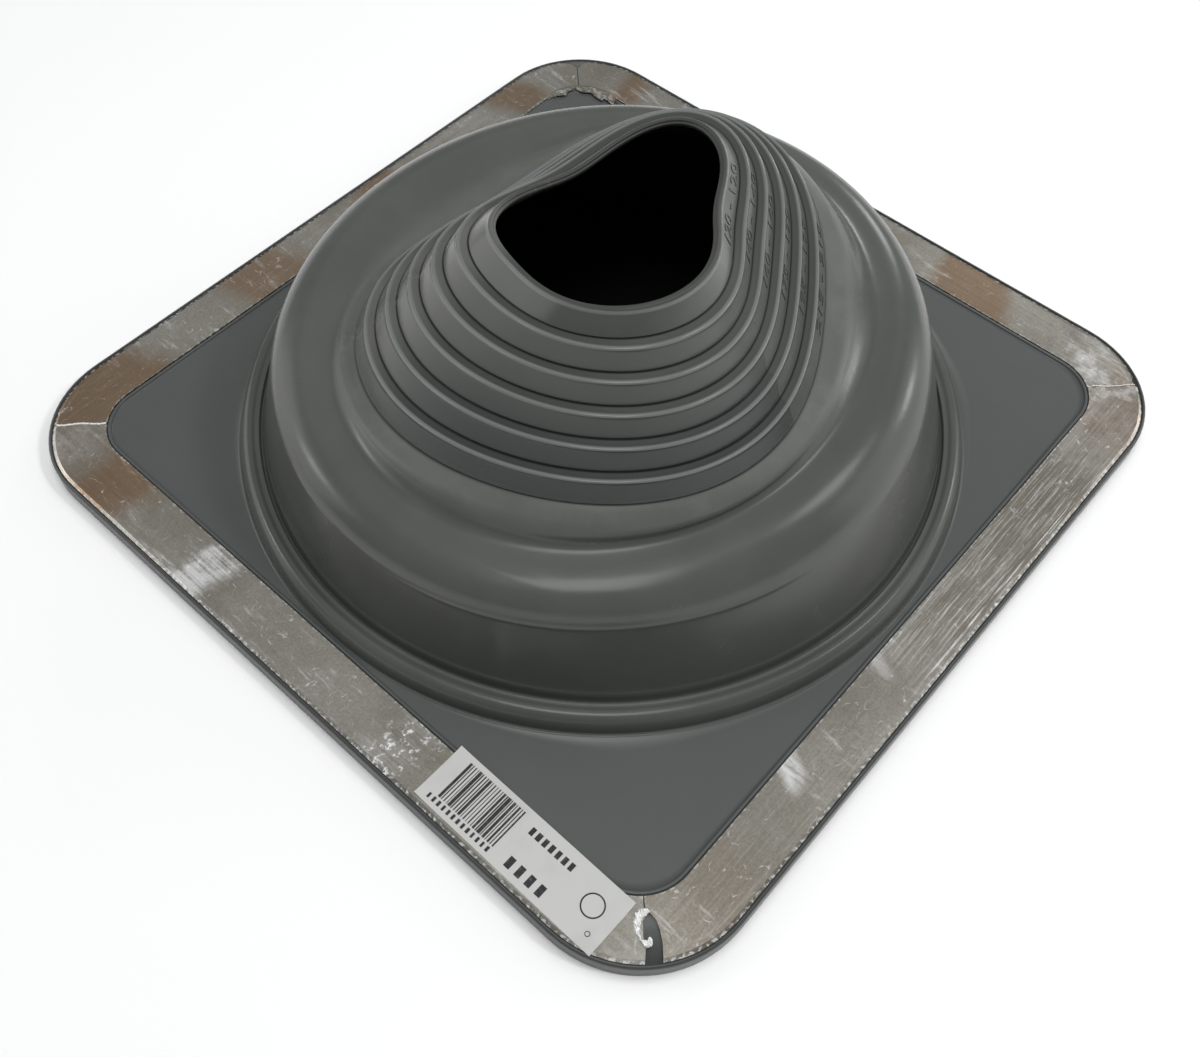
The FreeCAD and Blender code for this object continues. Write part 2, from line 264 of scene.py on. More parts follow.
# the steps, from the mouth down: the top one is a plain slope, and the rest rise to a ridge
top_rise = 0.8
for u in (0.78, 0.74, 0.66, 0.5, 0.35, 0.2, 0.12, 0.07, 0.04, 0.022, 0.01, 0.0):
    add_skin(lowest_groove + steps - 1 + u, top_rise * u - groove_dip(u))
near_top_groove = (0.99, 0.98, 0.968, 0.95, 0.92, 0.88, 0.845)
over_crest = (0.82, 0.805, 0.79, 0.775, 0.76, 0.745, 0.73, 0.715, 0.7, 0.68, 0.65, 0.6)
down_slope = (0.5, 0.38, 0.25, 0.14, 0.07, 0.04, 0.022, 0.01, 0.0)
for step in range(steps - 2, -1, -1):
    for u in near_top_groove + over_crest + down_slope:
        add_skin(lowest_groove + step + u, step_lift(u))
# the broader lowest ridge below the last groove, and the valley beside it
foot_ridge, foot_edge, foot_end = 2.6, 0.85, 1.9
below_groove = ((0.01, 0.022, 0.04, 0.07), np.linspace(0.12, 0.4, 7), np.linspace(0.44, 0.72, 13))
for below in np.concatenate(below_groove):
    rise = foot_ridge * below / foot_place
    fall = foot_ridge * (foot_end - below) / (foot_end - foot_place)
    add_skin(lowest_groove - below, softer_min(rise, fall, foot_edge) - groove_dip(below))
valley_start, valley_length, valley_share = 2.2, 0.64, 0.87
for q in np.linspace(2.78, valley_start, 13):
    add_skin(q, foot_ridge * valley_share * smooth((q - valley_start) / valley_length))
# the shoulder, with a soft fold that runs aslant on its left front
fold_height, fold_half, fold_turn, fold_middle, fold_slant = 0.15, 0.07, 76, 1.87, 60
fold = fold_height * smooth((np.cos(angles + math.radians(fold_turn)) - 0.93) / 0.05)
degrees_round = np.degrees((angles + np.pi) % (2 * np.pi) - np.pi)
fold_place = fold_middle - np.clip(degrees_round + 70, -24, 14) / fold_slant
for q in list(np.linspace(2.16, 1.5, 24)) + list(np.linspace(1.45, 1, 10)):
    add_skin(q, fold * np.exp(-((q - fold_place) / fold_half) ** 2))
# the wall, with a crease under the shoulder at the front and a slight flare at its foot
crease_height, crease_place, crease_half, crease_turn = 0.3, 0.96, 0.018, 46
flare, flare_start, flare_length = 0.2, 0.1, 0.03
crease = crease_height * smooth((np.cos(angles + math.radians(crease_turn)) - 0.8) / 0.15)
for q in (0.985, 0.97, 0.955, 0.94, 0.9, 0.8, 0.65, 0.5, 0.35, 0.2, 0.14, 0.1, 0.085, 0.07, 0.05, 0.03, 0.0):
    add_skin(q, crease * math.exp(-((q - crease_place) / crease_half) ** 2)
             + flare * smooth((flare_start - q) / flare_length))
# the groove and the sharp rim inside the bead, by reach and height from the wall's foot
groove_section = ((0.3, -0.4), (0.5, -1.1), (0.8, -1.6), (1.1, -1.4), (1.3, -0.6),
                  (1.42, 0.0), (1.6, 0.25), (1.9, 0.3), (2.3, 0.2), (2.8, 0.1))
for reach, z in groove_section:
    add_bead(wall_foot[0] + reach, wall_foot[1] + z, on_groove)
# the half-round bead, a little wider outside than inside, and its small fillet
bead_flare, bead_lift = 0.4, 0.1
bead_centre = bead_radius - bead_width / 2 - bead_flare
for turn in np.radians(np.concatenate([np.arange(112, 0, -8), [5, 2, 0]])):
    half = bead_width / 2 + (bead_flare if turn < math.pi / 2 else 0.0)
    z = field_top + bead_lift + bead_height * math.sin(turn)
    add_bead(bead_centre + half * math.cos(turn), z, on_bead)
for reach, z in ((0.15, 0.12), (0.35, 0.22), (0.7, 0.26), (1.0, 0.2), (1.15, 0.08), (1.25, 0.0)):
    add_bead(bead_radius + reach, field_top + z, on_fillet)
# the field, and the raised lip round it by reach from the aluminium and height above the field
bead_foot, field_edge = rows[-1], level_ring(plate_reach(angles, half_field), field_top)
for share in (0.1, 0.25, 0.4, 0.55, 0.7, 0.85, 0.95):
    add_level(between((bead_foot, field_edge), share), on_field)
lip_section = ((-lip_width, 0.0), (-1.72, 0.25), (-1.6, 0.52), (-1.42, 0.68), (-1.2, 0.72),
               (-0.8, 0.72), (-0.62, 0.66), (-0.5, 0.5), (-0.42, 0.2), (-0.38, -0.1))
for reach, z in lip_section:
    add_level(level_ring(plate_reach(angles, half_edging - edging_width + reach), field_top + z), on_lip)
# the seat for the aluminium, the margin outside it and the plate's rounded edge
edge_round = 1.0
margin_section = ((0.3, seat_height), (0.36, edging_high - 0.4), (0.42, edging_high - 0.15),
                  (0.55, edging_high), (half_plate - half_edging - edge_round, edging_high))
for reach, z in margin_section:
    add_level(level_ring(plate_reach(angles, half_edging + reach), z), on_margin)
for turn in np.radians((70, 50, 30, 10)):
    half, z = half_plate - edge_round * (1 - math.cos(turn)), edging_high - edge_round * (1 - math.sin(turn))
    add_level(level_ring(plate_reach(angles, half), z), on_edge)
# the edge, its skirt and the sealing rib underneath, by inset from the plate's outline and height
hollow_side = 3.7
skirt_section = ((0.0, 5.5), (0.0, 2.5), (0.0, 0.6), (0.25, 0.1), (0.5, 0.0), (3.8, 0.0), (4.0, 0.2),
                 (4.0, hollow_side), (4.3, under_field))
rib_section = ((8.7, under_field), (9.0, hollow_side), (9.0, 0.3), (9.3, 0.0), (10.7, 0.0), (11.0, 0.3),
               (11.0, hollow_side), (11.3, under_field))
for inset, z in skirt_section + rib_section:
    add_level(level_ring(plate_reach(angles, half_plate - inset), z), on_underside)
# the hollow underside, and the foot under the bead
inner_edge, bead_under = rows[-1], level_ring(bead_radius, under_field, bead_shift)
for share in (0.4, 0.75, 0.98):
    add_level(between((inner_edge, bead_under), share), on_underside)
foot_width = 6.0
for inset, z in ((0.0, hollow_side), (0.0, 0.2), (0.2, 0.0), (foot_width, 0.0)):
    add_bead(bead_radius - inset, z, on_underside)


def ring_mesh(name, rings, heights):
    """Closed skin through rings of points, with the angle and the place on the skin as its UV map."""
    count, sides = len(rings), len(rings[0])
    points = np.concatenate(rings) * MM
    ring, side = [v.ravel() for v in np.meshgrid(np.arange(count), np.arange(sides), indexing="ij")]
    after, beside = (ring + 1) % count, (side + 1) % sides
    corners = np.stack([ring * sides + side, after * sides + side, after * sides + beside,
                        ring * sides + beside], -1)
    mesh = bpy.data.meshes.new(name)
    mesh.from_pydata([tuple(p) for p in points], [], [tuple(c) for c in corners])
    uv = mesh.uv_layers.new(name="skin")
    height = np.asarray(heights)
    low, high = height[ring], np.where(after == 0, height[ring], height[after])
    u_here, u_next = side / sides, (side + 1) / sides
    values = np.stack([np.stack([u_here, low], -1), np.stack([u_here, high], -1),
                       np.stack([u_next, high], -1), np.stack([u_next, low], -1)], 1)
    uv.data.foreach_set("uv", values.astype(np.float32).ravel())
    mesh.polygons.foreach_set("use_smooth", np.ones(len(corners), bool))
    mesh.update()
    return mesh


boot_mesh = ring_mesh("rubber_boot", rows, places)
rubber_boot = bpy.data.objects.new("rubber_boot", boot_mesh)
bpy.context.scene.collection.objects.link(rubber_boot)


class Value:
    """A shader value or colour that Python's operators can work with."""

    def __init__(self, finish, socket):
        self.finish, self.socket = finish, socket

    def maths(self, operation, *values):
        return self.finish.node("Math", {"operation": operation}, dict(enumerate(values)))

    def __add__(self, other):
        return self.maths("ADD", self, other)

    def __sub__(self, other):
        return self.maths("SUBTRACT", self, other)

    def __rsub__(self, other):
        return self.maths("SUBTRACT", other, self)

    def __mul__(self, other):
        return self.maths("MULTIPLY", self, other)

    def __pow__(self, other):
        return self.maths("POWER", self, other)

    def __abs__(self):
        return self.maths("ABSOLUTE", self)

    def above(self, limit):
        """The value, or the limit where that is higher."""
        return self.maths("MAXIMUM", self, limit)

    __radd__, __rmul__ = __add__, __mul__


class Finish:
    """A material whose node tree is written as sums of values."""

    def __init__(self, name):
        self.material = bpy.data.materials.new(name)
        self.material.use_nodes = True
        self.nodes = self.material.node_tree.nodes
        self.shader = self.nodes["Principled BSDF"]

    def node(self, kind, settings=None, inputs=None, output=0):
        made = self.nodes.new("ShaderNode" + kind)
        for name, value in (settings or {}).items():
            setattr(made, name, value)
        for key, value in (inputs or {}).items():
            self.put(made.inputs[key], value)
        return Value(self, made.outputs[output])

    def put(self, socket, value):
        if isinstance(value, Value):
            self.material.node_tree.links.new(value.socket, socket)
        else:
            socket.default_value = value

    def set(self, **values):
        for name, value in values.items():
            self.put(self.shader.inputs[name.replace("_", " ")], value)

    def mix(self, share, first, second):
        """Colour between two colours."""
        pair = [v if isinstance(v, Value) else (*v, 1.0) for v in (first, second)]
        return self.node("Mix", {"data_type": "RGBA"}, {0: share, 6: pair[0], 7: pair[1]}, 2)

    def step(self, value, low, high):
        """Soft step from 0 to 1 between two values, or from 1 to 0 if low is the larger."""
        return self.node("MapRange", {"interpolation_type": "SMOOTHSTEP"}, {0: value, 1: low, 2: high})

    def place(self, size=(1, 1, 1), turn=0.0, move=(0, 0, 0)):
        """Object coordinates, scaled, turned about Z and moved."""
        where = self.node("TexCoord", output=3)
        return self.node("Mapping", {}, {0: where, 1: move, 2: (0, 0, turn), 3: size})

    def noise(self, where, scale, detail=3.0, rough=0.5):
        inputs = {"Vector": where, "Scale": scale, "Detail": detail, "Roughness": rough}
        return self.node("TexNoise", {}, inputs)

    def bump(self, height, distance, strength=1.0, normal=None):
        inputs = {"Strength": strength, "Distance": distance, "Height": height}
        if normal is not None:
            inputs["Normal"] = normal
        return self.node("Bump", {}, inputs)

    def axes(self, where):
        return [self.node("SeparateXYZ", {}, {0: where}, k) for k in range(3)]


# greys of the rubber: the moulded, dusty and plate greys are its own; the crest grey is a painted highlight,
# the pale grey is painted light on the left steps, and the ledge, low step, wall and groove greys are
# painted shade
moulded_greys = (0.067, 0.072, 0.065), (0.080, 0.085, 0.077)
dusty_grey, plate_grey, left_light_grey = (0.118, 0.122, 0.112), (0.071, 0.079, 0.080), (0.135, 0.138, 0.125)
crest_highlight_grey, wrinkle_grey = (0.155, 0.166, 0.158), (0.16, 0.165, 0.16)
painted_shade_grey, low_step_shade_grey = (0.034, 0.036, 0.033), (0.024, 0.029, 0.027)
wall_shade_grey, groove_shade_grey = (0.02, 0.022, 0.02), (0.008, 0.009, 0.008)
rubber = Finish("rubber")
turn_map, skin_map, _ = rubber.axes(rubber.node("UVMap", {"uv_map": "skin"}))
where = rubber.place()
mottle = rubber.noise(where, 14.0, 4.0, 0.6)
cloud = rubber.noise(where, 38.0, 5.0, 0.65)
fine = rubber.noise(where, 420.0, 3.0, 0.6)
# parts of the skin: the steps, and each one's crest, groove and ledge; the wall; the plate
on_steps = rubber.step(skin_map, lowest_groove - 0.1, lowest_groove + 0.1) * rubber.step(skin_map, 10.0, 9.6)
step_share = rubber.node("Math", {"operation": "FRACT"}, {0: skin_map - (lowest_groove - 4)})
off_crest = abs(step_share - ridge_crest)
crest = rubber.step(off_crest, 0.075, 0.03) * on_steps
crest_highlight = rubber.step(off_crest, 0.085, 0.035) * on_steps
groove = rubber.step(abs(step_share - 0.5), 0.468, 0.490) * on_steps
ledge = rubber.step(step_share, ridge_crest + 0.03, ridge_crest + 0.1) * on_steps
wall_shade = rubber.step(skin_map, 1.3, 0.7) * rubber.step(skin_map, -0.05, 0.0)
plate_part = rubber.step(skin_map, -0.4, -0.9)
outer_edge_shade = rubber.step(skin_map, -1.8, -2.1)
# dust lies in the valley, and little wrinkles on the pushed-in side, where the rings turn sharply
valley = rubber.step(skin_map, 2.5, 3.1) * rubber.step(skin_map, 3.75, 3.4)
smudge = rubber.noise(rubber.place((60, 60, 20)), 1.0, 6.0, 0.75)
dust = rubber.step(cloud, 0.4, 0.8) * 0.12 + valley * (rubber.step(smudge, 0.42, 0.7) * 0.4 + 0.5)
wrinkle_turn, wrinkle_width, wrinkle_bend = 0.65, 0.022, 0.0066
rise = (skin_map - (lowest_groove + 1.2)).above(0.0)
off_wrinkle = abs(turn_map - (wrinkle_turn - rise * rise * wrinkle_bend))
wrinkled = rubber.step(off_wrinkle, wrinkle_width, 0.004) * rubber.step(skin_map, 2.7, 3.2)
crumple = rubber.noise(rubber.place((420, 420, 160)), 1.0, 3.0, 0.7)
# painted shade darkens the lower steps in front, and painted light makes the steps paler on the left
low_step_shade = rubber.step(skin_map, lowest_groove + 4.0, lowest_groove + 1.0) * on_steps
in_front = rubber.step(turn_map, 0.70, 0.78)
left_light = rubber.step(turn_map, 0.74, 0.67) * rubber.step(turn_map, 0.53, 0.60)
grey = rubber.mix(rubber.step(mottle, 0.35, 0.68), *moulded_greys)
grey = rubber.mix(dust, grey, dusty_grey)
grey = rubber.mix(plate_part * 0.6, grey, plate_grey)
# painted shade: the wall is darker
grey = rubber.mix(wall_shade * 0.25, grey, wall_shade_grey)
# painted shade: the ledges between crest and groove are darker
grey = rubber.mix(ledge * 0.7, grey, painted_shade_grey)
# painted shade: the lower steps are darker, most of all in front
grey = rubber.mix(low_step_shade * (in_front * 0.6 + 0.2), grey, low_step_shade_grey)
# painted light: the steps are paler on the left
grey = rubber.mix(left_light * on_steps * (mottle * 0.6 + 0.4), grey, left_light_grey)
# painted highlight: a light band along each step's crest
grey = rubber.mix(crest_highlight * 0.9, grey, crest_highlight_grey)
# painted shade: the plate's margin, edge and underside are darker
grey = rubber.mix(outer_edge_shade * 0.6, grey, painted_shade_grey)
# painted shade: the grooves are nearly black
grey = rubber.mix(groove, grey, groove_shade_grey)
grey = rubber.mix(wrinkled * rubber.step(crumple, 0.5, 0.7) * 0.5, grey, wrinkle_grey)
roughness = 0.20 + mottle * 0.08 + dust * 0.3 + plate_part * 0.12 + ledge * 0.25 - crest * 0.08
relief = rubber.bump(fine, 0.00005, 0.5, rubber.bump(cloud, 0.0006, 0.12))
relief = rubber.bump(crumple * wrinkled, 0.0012, 0.8, relief)
rubber.set(Base_Color=grey, Roughness=roughness, Normal=relief)
boot_mesh.materials.append(rubber.material)
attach(rubber_boot, "root")
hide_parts("boot")

# Each step carries its pipe size as small raised figures on the right-hand side, moulded in one
# with the rubber. The sizes are worked out from the grooves, which are 0.8 of the pipe that fits.
mark_height, mark_lift, mark_sink = 4.2, 0.22, 0.3
mark_place = 0.2                 # the figures' feet, in steps above the groove
figure_share = 0.72              # a figure's height in its font size
stretch_of_pipe = 0.8
mark_spans = ((25, 58), (24, 56), (22, 56), (18, 58), (18, 64), (14, 66))   # degrees, lowest step first


def piece(name, points, faces, finish):
    """Object of one piece, from its points in millimetres."""
    mesh = bpy.data.meshes.new(name)
    mesh.from_pydata([tuple(v * MM for v in p) for p in points], [], faces)
    mesh.materials.append(finish.material)
    made = bpy.data.objects.new(name, mesh)
    bpy.context.scene.collection.objects.link(made)
    return made


def raised_text(words, height, q_low, start, end):
    """Figures laid along a step, with their feet at a place on its slope and their backs sunk in."""
    curve = bpy.data.curves.new("figures", "FONT")
    curve.body = words
    curve.size = height / figure_share
    curve.extrude = 0.5          # any depth does, as the lift below goes only by front and back
    curve.resolution_u = 3
    text = bpy.data.objects.new("figures", curve)
    bpy.context.scene.collection.objects.link(text)
    depsgraph = bpy.context.evaluated_depsgraph_get()
    mesh = bpy.data.meshes.new_from_object(text.evaluated_get(depsgraph))
    bpy.data.objects.remove(text)
    flat = np.array([v.co for v in mesh.vertices])
    q = q_low + flat[:, 1] / step_length
    angle = start + (end - start) * flat[:, 0] / flat[:, 0].max()
    step_number = np.floor(q - lowest_groove)
    u = q - step_number - lowest_groove
    slope = np.where(step_number < steps - 1, step_lift(u), top_rise * u)
    lift = slope + np.where(flat[:, 2] > 0, mark_lift, -mark_sink)
    return skin_point(angle, q, lift), [tuple(p.vertices) for p in mesh.polygons]


mark_points, mark_faces, shift = [], [], 0
for step in range(steps - 1, -1, -1):
    pipe = round(2 * cone_line(step)[0] / stretch_of_pipe / 5) * 5
    start, end = [math.radians(v) for v in mark_spans[step]]
    feet = lowest_groove + step + mark_place
    points, faces = raised_text(f"{pipe} - {pipe}", mark_height, feet, start, end)
    mark_points.append(points)
    mark_faces += [tuple(v + shift for v in face) for face in faces]
    shift += len(points)
size_figures = piece("size_figures", np.concatenate(mark_points), mark_faces, rubber)
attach(size_figures, "root")

# The edging is soft aluminium strip, mitred on the corners and pressed into the rubber. It is
# brushed along its length, scuffed, and nicked along its rims. Brown and pale bands across it are
# painted reflections of dark and bright parts of the room, and a bright line along the bevel is a
# painted highlight. A band is its middle along the strip, half its width, how soft its ends are, and its
# strength.
reflected_brown_bands = {"edging_left": ((-126, 27, 9, 0.9), (-40, 16, 7, 0.8), (28, 12, 6, 0.75), (114, 11, 5, 0.8)),
               "edging_front": ((-107, 13, 8, 0.95), (-137, 12, 10, 0.25)),
               "edging_right": ((128, 18, 10, 0.45), (-126, 20, 10, 0.2)),
               "edging_back": ((-111, 7, 5, 0.8), (74, 14, 5, 0.85), (150, 9, 6, 0.5))}
reflected_pale_bands = {"edging_left": ((-8, 7, 6, 0.15), (72, 20, 14, 0.2)),
              "edging_front": ((-53, 7, 3, 1.2), (-136, 6, 8, 0.3), (45, 8, 5, 0.3)),
              "edging_right": ((20, 40, 20, 0.15), (118, 22, 10, 0.3)),
              "edging_back": ((112, 17, 9, 0.12), (140, 12, 6, 0.3))}
ruled_bands = {"edging_left": ((-125, 20, 15, 0.2),),
               "edging_front": ((44, 7, 4, 0.3), (-53, 8, 6, 0.3)),
               "edging_right": ((45, 58, 22, 0.9), (-95, 50, 20, 0.2)),
               "edging_back": ((130, 20, 10, 0.3),)}
mottled_bands = {"edging_front": ((-136, 10, 8, 0.5),),
                 "edging_right": ((137, 20, 14, 1.0),),
                 "edging_back": ((134, 26, 12, 1.0),)}
flaked_bands = {"edging_front": ((44, 7, 5, 0.9),), "edging_right": ((-150, 9, 6, 0.4),)}
smeared_bands = {"edging_right": ((-70, 4, 2, 0.7), (-20, 3, 2, 0.35))}
# the metal's own browns, and the brown of its painted reflections
metal_browns, reflected_brown = ((0.40, 0.375, 0.32), (0.52, 0.50, 0.445)), (0.36, 0.235, 0.14)
brushed_grey, worn_and_reflected_white = (0.72, 0.70, 0.66), (0.78, 0.79, 0.80)
mottled_brown, grain_brown = (0.27, 0.225, 0.20), (0.20, 0.185, 0.155)
ruled_brown, edge_brown = (0.24, 0.205, 0.165), (0.30, 0.28, 0.22)
# metres in from the strip's inner edge: the rims, the bevel beside the outer one, and where smears end
outer_rim, inner_rim, bevel_place, smear_end = (0.0187, 0.0196), (0.0008, 0.0002), 0.0172, (0.012, 0.004)


def band_mask(metal, along, bands):
    """Sum of soft bands across the strip, or nothing where the strip has none."""
    total = 0.0
    for middle, half, soft, strength in bands:
        off = abs(along - middle * MM)
        total = metal.step(off, (half + soft) * MM, (half - soft) * MM) * strength + total
    return total


strip_finish = {}
for name in reflected_brown_bands:
    metal = Finish(name + "_aluminium")
    east, north, _ = metal.axes(metal.place())
    lengthwise = name in ("edging_left", "edging_right")
    along = north if lengthwise else east
    # how far in from the rubber at the strip's inner edge, also round the corners
    straight = (half_edging - edging_corner) * MM
    over_east, over_north = [(abs(v) - straight).above(0.0) for v in (east, north)]
    across = (over_east * over_east + over_north * over_north) ** 0.5 - (edging_corner - edging_width) * MM
    # brushing and fine ruled lines run along the strip, the other noises in any direction
    brushing = metal.noise(metal.place((900, 9, 900) if lengthwise else (9, 900, 900)), 1.0, 4.0, 0.6)
    lines = metal.noise(metal.place((1500, 45, 900) if lengthwise else (45, 1500, 900)), 1.0, 4.0, 0.75)
    patch = metal.noise(metal.place((85, 85, 85), 0.4), 1.0, 8.0, 0.72)
    cloud = metal.noise(metal.place((26, 26, 26)), 1.0, 4.0, 0.55)
    scuff = metal.noise(metal.place((120, 120, 120)), 1.0, 7.0, 0.75)
    wisp = metal.noise(metal.place((70, 380, 70), 0.9), 1.0, 5.0, 0.7)
    chip = metal.noise(metal.place(), 520.0, 4.0, 0.7)
    grain = metal.noise(metal.place(), 1300.0, 3.0, 0.7)
    hair = metal.noise(metal.place((170, 110, 140), 0.5), 1.0, 2.0, 0.4)
    # the bands, the first two (painted reflections) with uneven and slanting ends
    brown = band_mask(metal, along + cloud * 0.03 - 0.015 + across * 0.25, reflected_brown_bands[name])
    pale = band_mask(metal, along + scuff * 0.016 - 0.008 + across * 0.2, reflected_pale_bands[name])
    ruled_part = band_mask(metal, along, ruled_bands[name])
    mottled = band_mask(metal, along, mottled_bands.get(name, ()))
    flaked = band_mask(metal, along, flaked_bands.get(name, ()))
    smeared = band_mask(metal, along + across * 0.5, smeared_bands.get(name, ()))
    # bright marks: hairlines, nicks on the rims, a painted highlight along the bevel, pale bands of painted
    # reflection, wisps, ruling, flakes, smears
    hairs = metal.step(abs(hair - 0.5), 0.012, 0.002) * metal.step(chip, 0.46, 0.58)
    hairs = hairs * metal.step(scuff, 0.44, 0.56)
    rim = metal.step(across, *outer_rim) + metal.step(across, *inner_rim) * 0.5
    # painted highlight: a broken bright line along the bevel
    bevel = metal.step(abs(across - bevel_place), 0.0006, 0.0002)
    bevel = bevel * (metal.step(lines, 0.47, 0.56) * ruled_part)
    nicks_and_bevel_highlight = rim * metal.step(chip, 0.50, 0.56) + bevel
    smear = smeared * metal.step(across, *smear_end)
    flakes = flaked * metal.step(chip, 0.50, 0.58) * metal.step(scuff, 0.48, 0.54)
    # painted reflection: pale bands, broken up by the brushing
    reflected_light = pale * metal.step(brushing * 0.5 + scuff * 0.5, 0.36, 0.56)
    wisps = metal.step(wisp, 0.54, 0.72) * metal.step(cloud, 0.40, 0.58)
    ruled = ruled_part * metal.step(lines, 0.54, 0.66)
    white = smear * metal.step(wisp, 0.30, 0.55) + reflected_light * 0.6 + wisps * 0.4 + nicks_and_bevel_highlight * 0.7
    white = white + hairs * 0.55 + ruled * 0.5 + flakes + metal.step(patch, 0.52, 0.66) * mottled * 0.4
    colour = metal.mix(metal.step(cloud, 0.34, 0.66), *metal_browns)
    # painted reflection: brown bands where the strip mirrors dark parts of the room
    colour = metal.mix(brown * (scuff * 0.4 + 0.8), colour, reflected_brown)
    colour = metal.mix(metal.step(brushing, 0.42, 0.78) * 0.14, colour, brushed_grey)
    colour = metal.mix(metal.step(patch, 0.50, 0.36) * mottled * 0.75, colour, mottled_brown)
    colour = metal.mix(metal.step(grain, 0.62, 0.38) * 0.28, colour, grain_brown)
    colour = metal.mix(ruled_part * metal.step(lines, 0.56, 0.42) * 0.75, colour, ruled_brown)
    colour = metal.mix(metal.step(across, 0.0009, 0.0) * 0.5, colour, edge_brown)
    # wear, the painted reflections and the painted bevel highlight whiten the metal
    colour = metal.mix(white, colour, worn_and_reflected_white)
    metal.set(Base_Color=colour, Metallic=1.0 - white * 0.7, Roughness=0.25 + brushing * 0.12 + white * 0.2)
    metal.set(Normal=metal.bump(brushing, 0.00006, 0.2, metal.bump(cloud, 0.0012, 0.25)))
    strip_finish[name] = metal
    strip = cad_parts[name]
    strip.data.materials.clear()
    strip.data.materials.append(metal.material)

# The label is a strip of thin white paper stuck over the front edging. It lies a little aslant,
# and its corners have come up slightly.
label_low, label_high = [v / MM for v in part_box("label")]
label_turn = math.radians(-0.5)
label_length, label_width = 75.0, 21.2
label_centre = (label_low + label_high) / 2
paper_thick, corner_lift = 0.2, 0.35


def on_label(along, across, height):
    """Points on the label, from its left end and from its outer side."""
    x, y = along - label_length / 2, across - label_width / 2
    c, s = math.cos(label_turn), math.sin(label_turn)
    end_share = np.clip(2 * np.abs(x) / label_length, 0, 1)
    side_share = np.clip(2 * np.abs(y) / label_width, 0, 1)
    z = label_low[2] + height + corner_lift * end_share ** 12 * side_share ** 4
    return np.stack([label_centre[0] + x * c - y * s, label_centre[1] + x * s + y * c, z], -1)


def thin_sheet(length_cells, width_cells, thickness):
    """Points and faces of a closed thin sheet over the whole label."""
    along = np.linspace(0, label_length, length_cells + 1)
    across = np.linspace(0, label_width, width_cells + 1)
    a, b = np.meshgrid(along, across, indexing="ij")
    points = np.concatenate([on_label(a, b, height).reshape(-1, 3) for height in (thickness, 0.0)])
    count, width = a.size, width_cells + 1
    faces = []
    for i in range(length_cells):
        for j in range(width_cells):
            k = i * width + j
            faces.append((k, k + width, k + width + 1, k + 1))
            faces.append((count + k, count + k + 1, count + k + width + 1, count + k + width))
    rim = [(i, 0) for i in range(length_cells)] + [(length_cells, j) for j in range(width_cells)]
    rim += [(i, width_cells) for i in range(length_cells, 0, -1)]
    rim += [(0, j) for j in range(width_cells, 0, -1)]
    loop = [i * width + j for i, j in rim]
    for here, after in zip(loop, loop[1:] + loop[:1]):
        faces.append((here, count + here, count + after, after))
    return points, faces


paper = Finish("label_paper")
fibre = paper.noise(paper.place(), 900.0, 4.0, 0.6)
stain = paper.noise(paper.place(), 60.0, 3.0, 0.6)
clean_paper, stained_paper = (0.52, 0.52, 0.505), (0.42, 0.425, 0.405)
paper.set(Base_Color=paper.mix(paper.step(stain, 0.45, 0.8) * 0.6, clean_paper, stained_paper),
          Roughness=0.55 + fibre * 0.1, Normal=paper.bump(fibre, 0.00003, 0.4))
label_points, label_faces = thin_sheet(60, 18, paper_thick)
paper_label = piece("paper_label", label_points, label_faces, paper)
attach(paper_label, "root")
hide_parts("label")

# The label's print is black ink, and only plain bars, blocks and rings. One small tree lays a row
# of bars, each as wide as chance says, and the rows are then bent to the paper.
row_tree = bpy.data.node_groups.new("print_row", "GeometryNodeTree")
row_tree.interface.new_socket("Geometry", in_out="OUTPUT", socket_type="NodeSocketGeometry")
row_inputs = {}
for label, kind in (("Count", "Int"), ("Pitch", "Float"), ("Width", "Float"), ("Thinnest", "Float"),
                    ("Length", "Float"), ("Thickness", "Float"), ("Seed", "Int"), ("Ink", "Material")):
    row_inputs[label] = row_tree.interface.new_socket(label, in_out="INPUT", socket_type="NodeSocket" + kind)
row_in, row_out = [row_tree.nodes.new("NodeGroup" + kind) for kind in ("Input", "Output")]


def row_node(kind, links=None, **settings):
    made = row_tree.nodes.new(kind)
    for name, value in settings.items():
        setattr(made, name, value)
    for key, source in (links or {}).items():
        if hasattr(source, "links"):
            row_tree.links.new(source, made.inputs[key])
        else:
            made.inputs[key].default_value = source
    return made


pitch = row_node("ShaderNodeCombineXYZ", {0: row_in.outputs["Pitch"]})
line = row_node("GeometryNodeMeshLine", {"Count": row_in.outputs["Count"], "Offset": pitch.outputs[0]})
drawn = row_node("FunctionNodeRandomValue", {2: row_in.outputs["Thinnest"], 3: 1.0,
                                             "Seed": row_in.outputs["Seed"]})
width = row_node("ShaderNodeMath", {0: row_in.outputs["Width"], 1: drawn.outputs[1]}, operation="MULTIPLY")
size = row_node("ShaderNodeCombineXYZ", {0: width.outputs[0], 1: row_in.outputs["Length"],
                                         2: row_in.outputs["Thickness"]})
block = row_node("GeometryNodeMeshCube", {"Size": (1, 1, 1)})
laid = row_node("GeometryNodeInstanceOnPoints", {"Points": line.outputs[0], "Instance": block.outputs[0],
                                                 "Scale": size.outputs[0]})
real = row_node("GeometryNodeRealizeInstances", {0: laid.outputs[0]})
inked = row_node("GeometryNodeSetMaterial", {0: real.outputs[0], "Material": row_in.outputs["Ink"]})
row_tree.links.new(inked.outputs[0], row_out.inputs[0])

ink = Finish("label_ink")
ink_wear = ink.noise(ink.place(), 700.0, 3.0, 0.7)
fresh_ink, worn_ink = (0.018, 0.018, 0.02), (0.09, 0.09, 0.09)
ink.set(Base_Color=ink.mix(ink.step(ink_wear, 0.5, 0.75), fresh_ink, worn_ink),
        Roughness=0.45 + ink_wear * 0.15)
ink_thick, ink_gap = 0.05, 0.01
